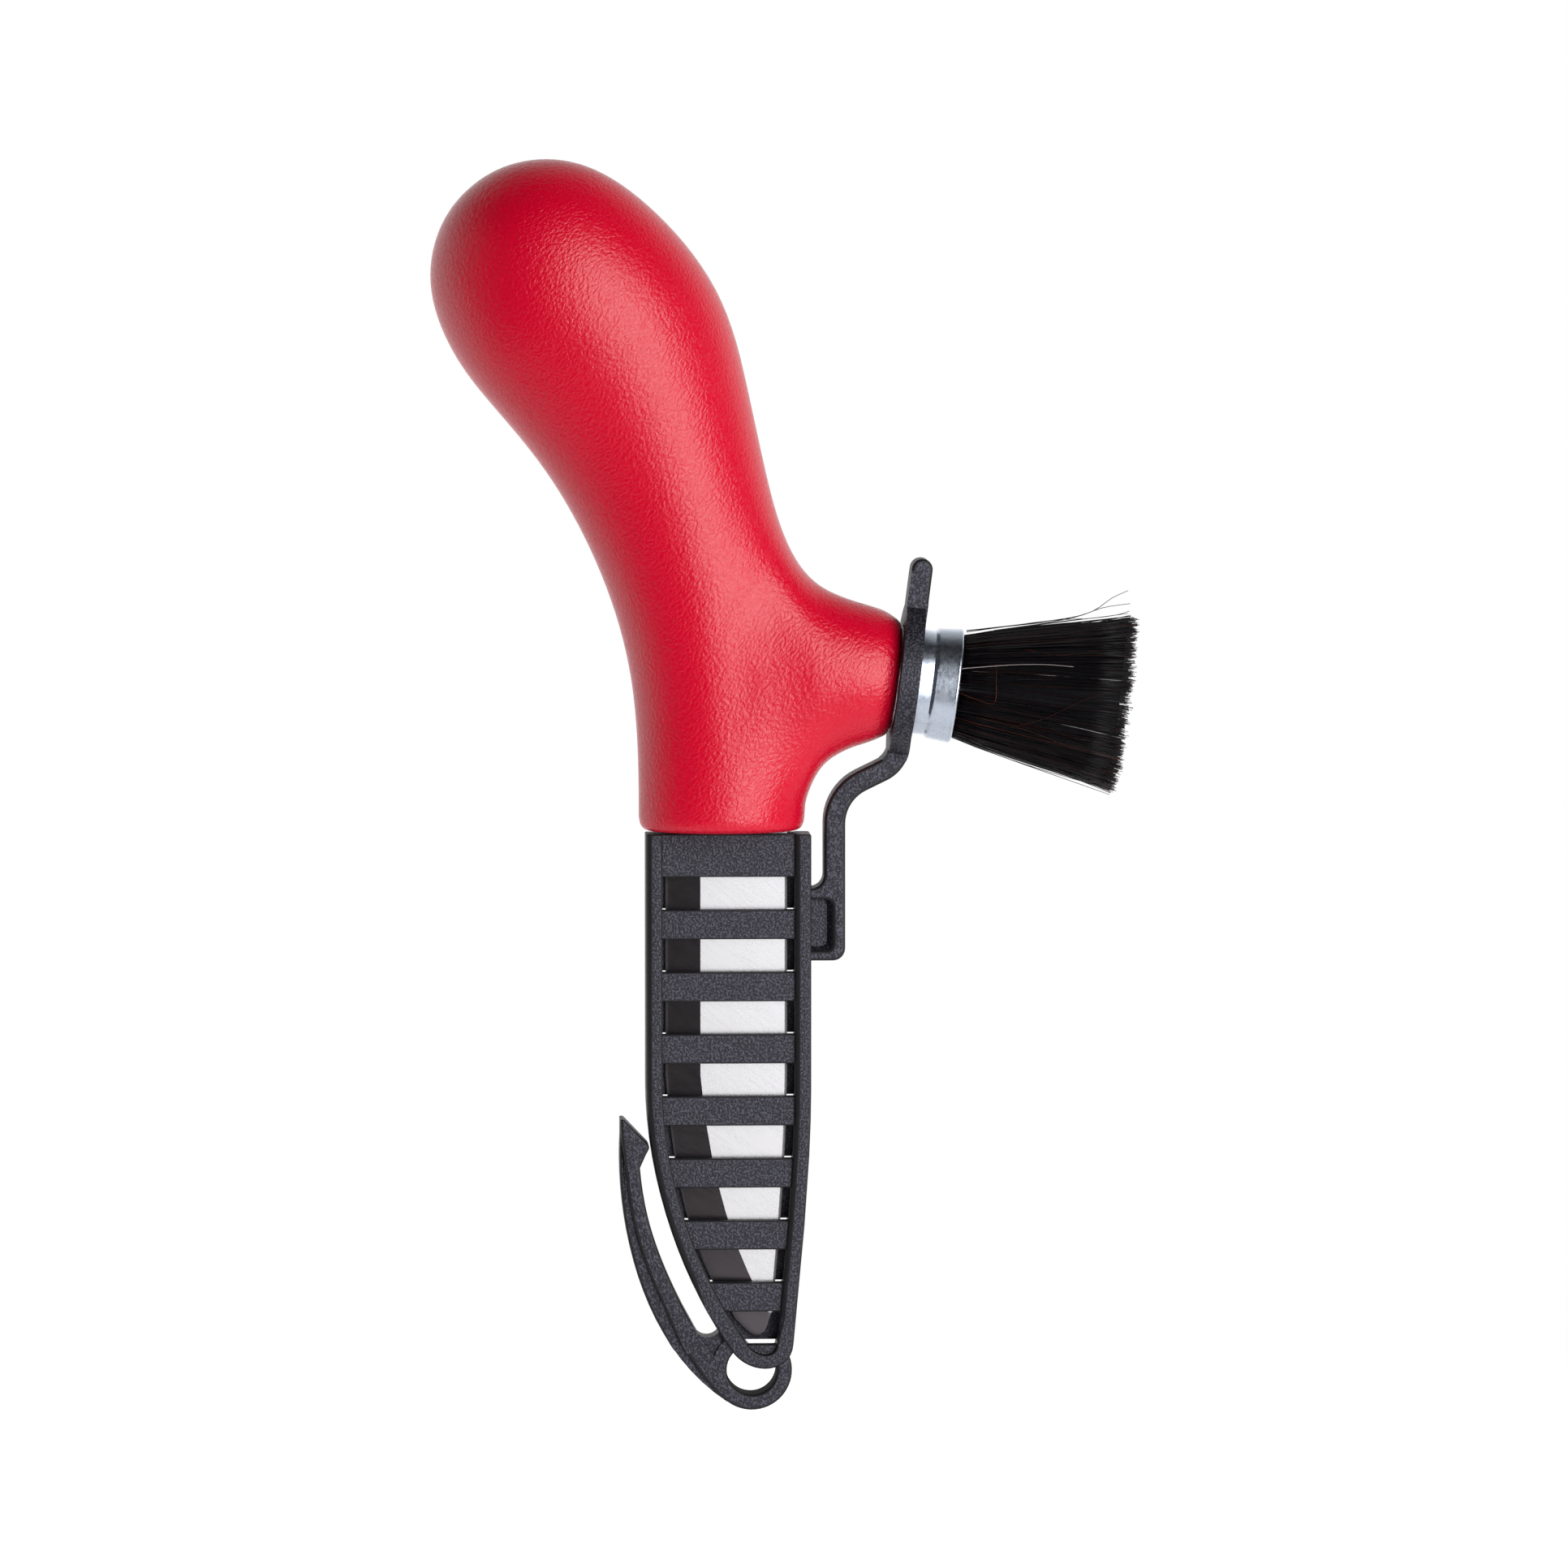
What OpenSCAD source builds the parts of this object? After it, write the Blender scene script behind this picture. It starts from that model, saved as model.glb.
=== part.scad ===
// Mushroom picker's knife with a brush on its handle, held in a slatted belt sheath.
// X runs across the blade, Y through its thickness and Z up; the origin is the middle of the belt slot,
// between the clip and the sheath. The cutting edge faces -X and the brush +X.

/* [Sheath] */
// Width over the two rails
sheath_w = 24.2; // [23.6:0.1:26]
// Thickness over the rails
sheath_t = 7; // [6.6:0.1:9]
// Width of each rail
rail_w = 2.4; // [2:0.1:2.8]
// How far the slats lie below the face of the rails
slat_recess = 0.9; // [0.4:0.1:1.2]
// Height of one slat
slat_h = 4.3; // [3:0.1:5]
// Distance from one slat to the next
slat_pitch = 9.14; // [8.6:0.02:9.3]
// Number of slats on the front
slats = 7; // [5:1:7]
// Height of the solid band at the mouth
collar_h = 6.3; // [4:0.1:8]
// Height of the mouth above the belt slot
mouth_z = 61.6; // [60:0.2:64]
// Distance from the belt slot to the sheath's straight edge
edge_x = 3.1; // [3:0.1:3.6]

/* [Lanyard eye] */
// Radius of the round lobe
lobe_r = 5.9; // [5.8:0.1:6.6]
// Radius of the eye
eye_r = 3.7; // [3:0.1:4]

/* [Belt clip] */
// Thickness over the face of the clip and the lobe
clip_t = 6.2; // [5.4:0.1:6.6]
// Thickness of the clip's lower outer band
clip_band_t = 4.8; // [4:0.1:5.2]
// Thickness of the sunk web between the clip and the sheath
web_t = 3.4; // [2.4:0.1:4]
// Width of the clip at its root
clip_root_w = 4.2; // [3.8:0.1:4.4]
// Gap between the barb and the rail
barb_gap = 0.15; // [0.1:0.05:0.3]

/* [Retaining strap] */
// Thickness of the strap
strap_t = 3.1; // [2.6:0.1:3.4]
// Depth of the strap from front to back
strap_d = 6; // [5:0.1:6.4]
// Clear gap between the sheath and the strap
strap_gap = 1.9; // [1.6:0.1:2.4]
// Height of the block that the strap grows from
block_h = 10.6; // [9:0.1:12]
// Height of the strap's root above the belt slot
strap_root_z = 53.6; // [52:0.2:56]
// Outer radius of the ring round the ferrule
ring_r = 11.2; // [10.8:0.1:12]
// Thickness of the ring along the brush
ring_t = 2.8; // [2.4:0.1:3]
// Length of the pull tab from the middle of the ring
tab_len = 18; // [16:0.2:22]

/* [Handle] */
// Gap between the sheath's mouth and the handle
foot_gap = 0.3; // [0.2:0.1:1]
// Width of the handle at the sheath
foot_w = 24.2; // [23:0.2:26]
// Thickness of the handle at the sheath
foot_d = 18.6; // [17:0.2:20]
// Radius of the bulb
bulb_r = 18.4; // [17:0.2:19.4]
// Thickness of the bulb from front to back
bulb_d = 32; // [29:0.5:35]
// Radius of the neck's end face
neck_r = 8.4; // [8.2:0.1:9]
// Height of the neck above the handle's foot
neck_z = 22.3; // [21:0.1:23]
// Distance of the neck's end face from the middle of the sheath
neck_x = 24.6; // [24:0.1:26]
// Downward tilt of the neck and brush
brush_tilt = 7.3; // [5:0.1:9]

/* [Blade] */
// Width of the blade
blade_w = 17.8; // [16.8:0.1:18.2]
// Thickness of the blade
blade_t = 1.5; // [1:0.1:1.8]
// Width of the ground bevel
bevel_w = 5.1; // [4:0.1:6]
// Depth of the tip below the belt slot
tip_z = 12.7; // [12:0.1:13]
// Width of the tang
tang_w = 10; // [8:0.5:12]
// Length of the tang
tang_len = 40; // [25:1:48]

/* [Brush] */
// Length of the ferrule
ferrule_len = 9; // [8.2:0.1:12]
// Radius of the ferrule at the neck
ferrule_r = 7.7; // [7.3:0.05:7.8]
// Radius of the ferrule at its rim
rim_r = 8.4; // [8.3:0.05:9]
// Wall of the ferrule
ferrule_wall = 0.4; // [0.3:0.05:0.6]
// Length of the peg inside the ferrule
peg_len = 4.8; // [4:0.1:5.4]
// Free length of the bristles
bristle_len = 25; // [18:0.5:32]
// Radius of the tuft at its tips
tuft_r = 12.5; // [10:0.25:14]

/* [Hidden] */
$fn = 64;
fit = 0.05;
overlap = 0.3;
tip_slit = 0.35;
left_x = -edge_x;
right_x = left_x + sheath_w;
mid_x = left_x + sheath_w / 2;
cavity = blade_t + 0.4;
slat_y = sheath_t / 2 - slat_recess;
first_slat_z = mouth_z - collar_h - (slat_pitch - slat_h);

// ---- curves -------------------------------------------------------------------------------
// Point at t on the cubic curve with the four control points c
function bezier_at(c, t) =
    pow(1 - t, 3) * c[0] + 3 * pow(1 - t, 2) * t * c[1] + 3 * (1 - t) * t * t * c[2] + pow(t, 3) * c[3];
// n points along the curve, without its last
function bezier(c, n = 14) = [for (i = [0:n - 1]) bezier_at(c, i / n)];
// Place across X of a falling curve at the height z, halving the stretch that holds it
function across(c, z, low = 0, high = 1, turns = 18) =
    turns == 0 ? bezier_at(c, (low + high) / 2)[0]
    : bezier_at(c, (low + high) / 2)[1] > z ? across(c, z, (low + high) / 2, high, turns - 1)
    : across(c, z, low, (low + high) / 2, turns - 1);
function unit(v) = v / norm(v);
function left_of(v) = [-v[1], v[0]];
// A closed outline that runs anticlockwise, moved inwards by d
function inset(p, d) = [
    for (i = [0:len(p) - 1])
        let (
            a = unit(p[i] - p[(i + len(p) - 1) % len(p)]),
            b = unit(p[(i + 1) % len(p)] - p[i])
        )
        p[i] + left_of(a + b) * d / (1 + a * b)
];
// The turn of radius r at corner b of the path a, b, c
function turn(a, b, c, r, n = 10) =
    let (
        u = unit(a - b),
        v = unit(c - b),
        half = acos(u * v) / 2,
        centre = b + unit(u + v) * r / sin(half),
        from = b + u * r / tan(half) - centre,
        to = b + v * r / tan(half) - centre,
        a0 = atan2(from[1], from[0]),
        sweep = (atan2(to[1], to[0]) - a0 + 540) % 360 - 180
    )
    [for (i = [0:n]) centre + r * [cos(a0 + sweep * i / n), sin(a0 + sweep * i / n)]];
// Outline of a band of width w along an open path
function band(path, w) =
    let (
        last = len(path) - 1,
        normals = [
            for (i = [0:last])
                left_of(unit(path[min(i + 1, last)] - path[max(i - 1, 0)]))
        ]
    )
    concat(
        [for (i = [0:last]) path[i] - normals[i] * w / 2],
        [for (i = [last:-1:0]) path[i] + normals[i] * w / 2]
    );

// ---- outlines in the XZ plane -----------------------------------------------------------------
tip_turn = [left_x + 12.9, -14.9];
tip_rise = [right_x - 2.6, -13.5];
edge_curve = [[left_x, 25], [left_x, 10], [left_x + 5.5, -4.8], tip_turn];
tip_curve = [tip_turn, tip_turn + [2.9, -3.4], tip_rise + [-0.3, -4.1], tip_rise];
spine_curve = [tip_rise, tip_rise + [0.9, 9.5], [right_x, 12], [right_x, 24]];
function outline_up_to(top) = concat(
    [[left_x, top]],
    bezier(edge_curve, 16),
    bezier(tip_curve, 14),
    bezier(spine_curve, 8),
    [[right_x, 24], [right_x, top]]
);
sheath_outline = outline_up_to(mouth_z);
// The rail grows thinner round the tip
thinning_z = -13;
window_outline = [
    for (p = inset(outline_up_to(mouth_z + 2 * rail_w), rail_w))
        [p[0], p[1] + 0.2 * min(0, p[1] - thinning_z)]
];
eye_at = [mid_x + 3.4, tip_turn[1] - 2.35];

clip_outer = [[-6.9, 17.5], [-7.6, 5.5], [-4.5, -13.1], eye_at + [-3.7, -4.7]];
clip_ridge = [[-6.7, 16.4], [-7.3, 0.6], [0.9, -13.3], eye_at + [-4.7, -3.8]];
clip_inner = [[-4, 12.6], [-3.3, 4], [-0.5, -3], [4.2, -11.6]];
clip_lean = 35;
clip_root_at = clip_inner[3] - clip_root_w / 2 * [cos(clip_lean), sin(clip_lean)];
barb_tip = [across(edge_curve, 15.6) - barb_gap, 15.6];
clip_barb = [
    barb_tip + [-0.6, -1.1], barb_tip, barb_tip + [-0.3, 0.5], [-6, 19.4], [-6.5, 19.9], [-6.9, 19.7]
];
function clip_outline(outside) = concat(
    bezier(outside, 20),
    [outside[3], eye_at + [0, -lobe_r + 0.4], eye_at + [-eye_r, -0.4], clip_inner[3]],
    [for (i = [13:-1:0]) bezier_at(clip_inner, i / 14)],
    clip_barb
);

// ---- shared solids ------------------------------------------------------------------------
// An outline in the XZ plane as a plate from y0 to y1
module plate(points, y0, y1) {
    rotate([90, 0, 0])
        translate([0, 0, -y1])
            linear_extrude(y1 - y0)
                polygon(points);
}

// A round bar along Y
module bar(at, r, depth) {
    translate([at[0], 0, at[1]])
        rotate([90, 0, 0])
            cylinder(h = depth, r = r, center = true);
}

// What lies between two heights
module storey(z0, z1) {
    translate([-100, -50, z0])
        cube([200, 100, z1 - z0]);
}

// ---- sheath ---------------------------------------------------------------------------------
// A slat of height h with its top at z, on the front (side -1) or the back (side 1)
module slat(z, h, side) {
    ends = [side * cavity / 2, side * slat_y];
    intersection() {
        plate(window_outline, min(ends), max(ends));
        storey(z - h, z);
    }
}

// Front slats, and back slats that stand behind the windows between them
module slat_cage() {
    window_h = slat_pitch - slat_h;
    for (k = [0:slats - 1]) {
        slat(first_slat_z - k * slat_pitch, slat_h, -1);
        slat(first_slat_z - k * slat_pitch + window_h, window_h, 1);
    }
    last_z = first_slat_z - (slats - 1) * slat_pitch - slat_h;
    slat(last_z, window_h - tip_slit, 1);
    slat(last_z - window_h, 20, -1);
    for (side = [-1, 1])
        slat(mouth_z, collar_h, side);
}

// The round lobe, the lower end of the clip and the sunk web between them and the sheath
module sheath_foot() {
    web_left = clip_inner[3] - [0.5, 0];
    web_right = clip_inner[3] + [6, 0];
    difference() {
        union() {
            bar(eye_at, lobe_r, clip_t);
            difference() {
                plate([web_left, web_right, eye_at + [2, 0], eye_at + [-5, -3]], -web_t / 2, web_t / 2);
                bar(clip_inner[3] + [1.7, 1.1], 2, clip_t);
            }
            difference() {
                clip_solid();
                above_clip_root();
            }
        }
        bar(clip_root_at, clip_root_w / 2 + fit, clip_t + 1);
        bar(eye_at, eye_r, clip_t + 1);
        plate(inset(sheath_outline, overlap), -sheath_t, sheath_t);
    }
}

block_bottom = strap_root_z - block_h;
strap_x = right_x + strap_gap + strap_t / 2;
block_right = strap_x + strap_t / 2;
pocket_wall = 2.2;
pocket_web = 1;

// The block on the rail that the strap grows from, with a coring pocket in each face
module strap_block() {
    corner = 1.8;
    block_left = right_x - overlap;
    foot_at = strap_root_z + strap_gap;
    pocket = [
        [right_x - 1, block_bottom + pocket_wall - 1],
        [block_right - pocket_wall + 0.8, block_bottom + pocket_wall - 1],
        [block_right - pocket_wall + 0.8, strap_root_z - pocket_wall + 1.6],
        [right_x - 1, strap_root_z - pocket_wall + 1.6]
    ];
    difference() {
        plate(
            concat(
                [[block_left, strap_root_z], [block_left, block_bottom]],
                [for (a = [-90:15:0]) [block_right, block_bottom] + corner * [cos(a) - 1, sin(a) + 1]],
                [[block_right, foot_at], [strap_x - strap_t / 2, foot_at]],
                [for (a = [0:-15:-90]) [right_x + strap_gap * cos(a), foot_at + strap_gap * sin(a)]]
            ),
            -strap_d / 2, strap_d / 2
        );
        for (y = [pocket_web / 2, -strap_d])
            plate(inset(pocket, 1), y, y + strap_d - pocket_web / 2);
    }
}

module sheath_body() {
    color([0.15, 0.15, 0.17])
        union() {
            difference() {
                plate(sheath_outline, -sheath_t / 2, sheath_t / 2);
                plate(window_outline, -sheath_t, sheath_t);
            }
            slat_cage();
            sheath_foot();
            strap_block();
        }
}

// ---- clip -----------------------------------------------------------------------------------
module clip_solid() {
    plate(clip_outline(clip_outer), -clip_band_t / 2, clip_band_t / 2);
    plate(clip_outline(clip_ridge), -clip_t / 2, clip_t / 2);
}

// All above the line across the clip at its root
module above_clip_root() {
    translate([clip_inner[3][0], 0, clip_inner[3][1]])
        rotate([0, -clip_lean, 0])
            translate([-30, -20, 0])
                cube([60, 40, 60]);
}

module belt_clip() {
    color([0.17, 0.17, 0.19])
        intersection() {
            clip_solid();
            union() {
                above_clip_root();
                bar(clip_root_at, clip_root_w / 2, clip_t + 1);
            }
        }
}

// ---- strap ----------------------------------------------------------------------------------
foot_z = mouth_z + foot_gap;
neck_at = [mid_x + neck_x, foot_z + neck_z];
brush_dir = [cos(brush_tilt), -sin(brush_tilt)];
strap_dir = [sin(brush_tilt), cos(brush_tilt)];
ring_gap = 0.12;
ring_at = neck_at + brush_dir * (ring_gap + strap_t / 2);
strap_bend = ring_at - strap_dir * (ring_r + 1);
strap_rise = 26;
strap_corner = [strap_x, strap_bend[1] - (strap_bend[0] - strap_x) * tan(strap_rise)];
tab_end = ring_at + strap_dir * (tab_len - strap_t / 2);
strap_foot = [strap_x, strap_root_z + strap_gap];
strap_path = concat(
    [strap_foot],
    turn(strap_foot, strap_corner, strap_bend, 7),
    turn(strap_corner, strap_bend, tab_end, 4.5),
    [tab_end]
);

// Puts what is drawn along Z on the brush axis, from the neck's end face outwards
module on_brush_axis(reach = 0) {
    translate([neck_at[0] + brush_dir[0] * reach, 0, neck_at[1] + brush_dir[1] * reach])
        rotate([0, 90 + brush_tilt, 0])
            children();
}

module retaining_strap() {
    color([0.16, 0.16, 0.18])
        difference() {
            union() {
                plate(band(strap_path, strap_t), -strap_d / 2, strap_d / 2);
                bar(tab_end, strap_t / 2, strap_d);
                on_brush_axis(ring_gap)
                    cylinder(h = ring_t, r = ring_r);
            }
            on_brush_axis(ring_gap - 1)
                cylinder(h = strap_t + 2, r = ferrule_r + 0.2);
        }
}

// ---- knife ----------------------------------------------------------------------------------
// Cage of the handle: middle across and up from the foot, half width, half thickness, tilt
foot_rows = [
    [-0.9, 0, foot_w / 2 - 4, foot_d / 2 - 4, 0],
    [-0.9, 0, foot_w / 2 - 0.9, foot_d / 2 - 0.9, 0],
    [-0.9, 1, foot_w / 2, foot_d / 2, 0],
    [-0.9, 3, foot_w / 2 + 0.1, foot_d / 2 + 0.1, 0]
];
grip_rows = [
    [-0.8, neck_z - 17.5, 12.2, 9.5, 0],
    [-1.3, neck_z, 12.1, 10.2, 0],
    [-5.5, neck_z + 19, 13, 11, 15],
    [-11.1, 57.8, 15.5, 12.6, 22],
    [-16.9, 70.5, 18.9, 14.8, 29]
];
bulb_at = [-25.9, 80.7];
bulb_tilt = 41;
function bulb_row(a) = [
    bulb_at[0] - bulb_r * sin(a) * sin(bulb_tilt),
    bulb_at[1] + bulb_r * sin(a) * cos(bulb_tilt),
    bulb_r * cos(a),
    bulb_d / 2 * cos(a),
    bulb_tilt
];
rows = concat(foot_rows, grip_rows, [for (a = [0, 36, 66]) bulb_row(a)]);
// A cage of eight corners stands outside its smooth round by this factor
swell = 1.108;
neck_row = len(foot_rows);
function row_point(r, a) = [
    mid_x + r[0] + swell * r[2] * cos(a) * cos(r[4]),
    swell * r[3] * sin(a),
    foot_z + r[1] + swell * r[2] * cos(a) * sin(r[4])
];
// Rings of the neck: distance back from its end face, half height, half thickness, rise of the middle
// and lean
neck_rings = [
    [12.2, 13.4, 9.9, -0.6, 3],
    [8.3, 11.3, 9.8, -0.3, 2],
    [5.4, 10.4, 9.6, -0.1, 1],
    [2.8, 9.8, 9.2, 0, 0],
    [0.9, neck_r + 0.3, neck_r + 0.1, 0, 0],
    [0, neck_r - 0.4, neck_r - 0.4, 0, 0],
    [0, neck_r - 3, neck_r - 3, 0, 0]
];
function neck_point(n, a) =
    let (
        up = n[3] + swell * n[1] * sin(a),
        back = n[0] + n[4] * sin(a)
    )
    [
        neck_at[0] - back * brush_dir[0] + up * strap_dir[0],
        swell * n[2] * cos(a),
        neck_at[1] - back * brush_dir[1] + up * strap_dir[1]
    ];
function middle(p) =
    len(p) == 0 ? [0, 0, 0]
    : [for (k = [0:2]) [for (q = p) q[k]] * [for (q = p) 1] / len(p)];
bulb_up = [-sin(bulb_tilt), 0, cos(bulb_tilt)];
crown_rise = 0.12 * bulb_r;
row_ring = [for (r = rows) for (k = [0:7]) row_point(r, 45 * k)];
neck_ring = [for (n = neck_rings) for (k = [0:7]) neck_point(n, 45 * k - 90)];
first_neck = len(row_ring);
caps = first_neck + len(neck_ring);
cage_points = concat(
    row_ring,
    neck_ring,
    [
        middle([for (k = [0:7]) row_ring[k]]),
        middle([for (k = [0:7]) row_ring[first_neck - 8 + k]]) + crown_rise * bulb_up,
        middle([for (k = [0:7]) neck_ring[len(neck_ring) - 8 + k]])
    ]
);
// Corners of the opening in the grip that the neck grows from, in step with a neck ring
neck_base = [
    for (p = [[0, 0], [0, 1], [1, 1], [2, 1], [2, 0], [2, 7], [1, 7], [0, 7]])
        (neck_row + p[0]) * 8 + p[1]
];
function band_faces(a, b) = [for (k = [0:7]) [a[k], a[(k + 1) % 8], b[(k + 1) % 8], b[k]]];
function ring_of(first) = [for (k = [0:7]) first + k];
function cap_faces(ring, centre) =
    [for (k = [0:2:6]) [ring[k], ring[k + 1], ring[(k + 2) % 8], centre]];
function flipped(faces) = [for (q = faces) [q[3], q[2], q[1], q[0]]];
function is_neck_hole(row, k) = (row == neck_row || row == neck_row + 1) && (k == 0 || k == 7);
cage_faces = concat(
    [
        for (row = [0:len(rows) - 2])
            for (k = [0:7])
                if (!is_neck_hole(row, k))
                    [row * 8 + k, row * 8 + (k + 1) % 8, row * 8 + 8 + (k + 1) % 8, row * 8 + 8 + k]
    ],
    band_faces(neck_base, ring_of(first_neck)),
    [
        for (n = [0:len(neck_rings) - 2])
            each band_faces(ring_of(first_neck + 8 * n), ring_of(first_neck + 8 * n + 8))
    ],
    flipped(cap_faces(ring_of(0), caps)),
    cap_faces(ring_of(first_neck - 8), caps + 1),
    cap_faces(ring_of(caps - 8), caps + 2)
);

// One step of Catmull-Clark smoothing of a closed cage of four-sided faces
function smoothed(cage) =
    let (
        p = cage[0],
        f = cage[1],
        n = len(p),
        edges = [for (q = f) for (i = [0:3]) [q[i], q[(i + 1) % 4]]],
        starts = [for (e = edges) e[0]],
        key = [for (e = edges) e[0] * n + e[1]],
        twin = search([for (e = edges) e[1] * n + e[0]], key),
        face_point = [for (q = f) (p[q[0]] + p[q[1]] + p[q[2]] + p[q[3]]) / 4],
        first = [for (h = [0:len(edges) - 1]) h < twin[h] ? 1 : 0],
        rank = [for (h = 0, c = 0; h < len(edges); c = c + first[h], h = h + 1) c],
        edge_at = [for (h = [0:len(edges) - 1]) n + len(f) + (first[h] == 1 ? rank[h] : rank[twin[h]])],
        edge_point = [
            for (h = [0:len(edges) - 1])
                if (first[h] == 1)
                    (p[edges[h][0]] + p[edges[h][1]] + face_point[floor(h / 4)]
                        + face_point[floor(twin[h] / 4)]) / 4
        ],
        corner = [
            for (v = [0:n - 1])
                let (
                    out = search([v], starts, 0)[0],
                    k = len(out),
                    around = middle([for (h = out) face_point[floor(h / 4)]]),
                    along = middle([for (h = out) (p[v] + p[edges[h][1]]) / 2])
                )
                k == 0 ? p[v] : (around + 2 * along + (k - 3) * p[v]) / k
        ]
    )
    [
        concat(corner, face_point, edge_point),
        [
            for (j = [0:len(f) - 1])
                for (i = [0:3])
                    [f[j][i], edge_at[4 * j + i], n + j, edge_at[4 * j + (i + 3) % 4]]
        ]
    ];

module handle() {
    skin = smoothed(smoothed([cage_points, cage_faces]));
    color([0.8, 0.02, 0.12])
        difference() {
            union() {
                polyhedron(points = skin[0], faces = flipped(skin[1]), convexity = 6);
                on_brush_axis(-2)
                    cylinder(h = peg_len + 2, r = ferrule_r - ferrule_wall - fit);
            }
            translate([tang_x - tang_w / 2 - fit, -blade_t / 2 - fit, foot_z - 1])
                cube([tang_w + 2 * fit, blade_t + 2 * fit, tang_len + 1 + fit]);
        }
}

edge_gap = 0.55;
blade_edge_x = window_outline[0][0] + edge_gap;
tang_x = blade_edge_x + blade_w / 2 + 1;
// Curves of the blade's edge, of the top of its bevel and of its spine, across from the straight edge
edge_line = [[0, 26], [1, 13], [2.8, -2], [12.3, -12.3]];
bevel_line = [[bevel_w, 26], [bevel_w + 1.2, 13.5], [8.8, 2], [15.2, -9.2]];
spine_line = [[blade_w, 26], [blade_w - 0.2, 12], [16.4, -1], [15.6, -9.2]];
edge_land = 0.08;
spine_land = 0.25;

// Section of the blade at one height: edge, two shoulders of the bevel and the spine
function blade_section(z, edge, shoulder, spine, t) = [
    [edge, -edge_land / 2, z], [shoulder, -t / 2, z], [spine, -t / 2, z],
    [spine, t / 2, z], [shoulder, t / 2, z], [edge, edge_land / 2, z]
];
blade_top = foot_z - fit;
blade_heights = [26, 22, 18, 14, 10, 6, 3, 0, -3, -5, -7, -9];
// Sections of the round tip: height above the tip, edge, spine and share of the thickness
tip_sections = [
    [2.7, 10.15, 15.2, 0.85],
    [1.7, 11.15, 14.95, 0.7],
    [0.9, 12, 14.6, 0.5],
    [0.35, 12.65, 14.15, 0.3],
    [0, 13.2, 13.6, 0.15]
];
blade_sections = concat(
    [blade_section(blade_top, 0, bevel_w, blade_w, blade_t)],
    [
        for (z = blade_heights)
            blade_section(z, across(edge_line, z), across(bevel_line, z), across(spine_line, z), blade_t)
    ],
    [for (s = tip_sections) blade_section(s[0] - tip_z, s[1], s[2] - spine_land, s[2], blade_t * s[3])]
);

module blade() {
    rings = len(blade_sections);
    color([0.8, 0.8, 0.82])
        union() {
            polyhedron(
                points = [for (s = blade_sections) for (q = s) q + [blade_edge_x, 0, 0]],
                faces = concat(
                    [[5, 4, 3, 2, 1, 0]],
                    [
                        for (i = [0:rings - 2])
                            for (k = [0:5])
                                [i * 6 + k, i * 6 + (k + 1) % 6, i * 6 + 6 + (k + 1) % 6, i * 6 + 6 + k]
                    ],
                    [[for (k = [0:5]) (rings - 1) * 6 + k]]
                ),
                convexity = 3
            );
            translate([tang_x - tang_w / 2, -blade_t / 2, blade_top - 1])
                cube([tang_w, blade_t, tang_len + 1]);
        }
}

// ---- brush ----------------------------------------------------------------------------------
rim_bead = 0.35;
flare_at = 1.5;
resin_top = ferrule_len - 1;

module ferrule() {
    groove_r = 0.75;
    color([0.82, 0.84, 0.87])
        on_brush_axis(fit)
            difference() {
                rotate_extrude()
                    polygon(concat(
                        [[ferrule_r - ferrule_wall, 0], [ferrule_r, 0], [ferrule_r, flare_at]],
                        [
                            for (a = [-60:30:120])
                                [rim_r - rim_bead, ferrule_len - rim_bead] + rim_bead * [cos(a), sin(a)]
                        ],
                        [
                            [rim_r - ferrule_wall, ferrule_len - rim_bead],
                            [ferrule_r - ferrule_wall, peg_len + 0.6]
                        ]
                    ));
                for (a = [0:45:315])
                    rotate([0, 0, a])
                        translate([rim_r + groove_r - 0.5, 0, ferrule_len - 4.4])
                            rotate([90, 0, 0])
                                cylinder(h = 3, r = groove_r, center = true);
            }
}

module bristle_resin() {
    color([0.25, 0.16, 0.1])
        on_brush_axis(fit + peg_len)
            cylinder(h = resin_top - peg_len, r = ferrule_r - ferrule_wall - fit);
}

module bristle_tuft() {
    root_r = ferrule_r - ferrule_wall - fit;
    mouth = ferrule_len - resin_top;
    color([0.06, 0.05, 0.05])
        on_brush_axis(fit + resin_top)
            rotate_extrude()
                polygon([
                    [0, 0],
                    [root_r, 0],
                    [root_r + 0.45, mouth + 0.3],
                    [tuft_r, mouth + bristle_len - 0.6],
                    [tuft_r - 0.5, mouth + bristle_len],
                    [0, mouth + bristle_len]
                ]);
}

handle();
blade();
ferrule();
bristle_resin();
bristle_tuft();
sheath_body();
belt_clip();
retaining_strap();
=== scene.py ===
import math
import random

import bmesh
import bpy
from mathutils import Matrix, Vector


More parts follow.
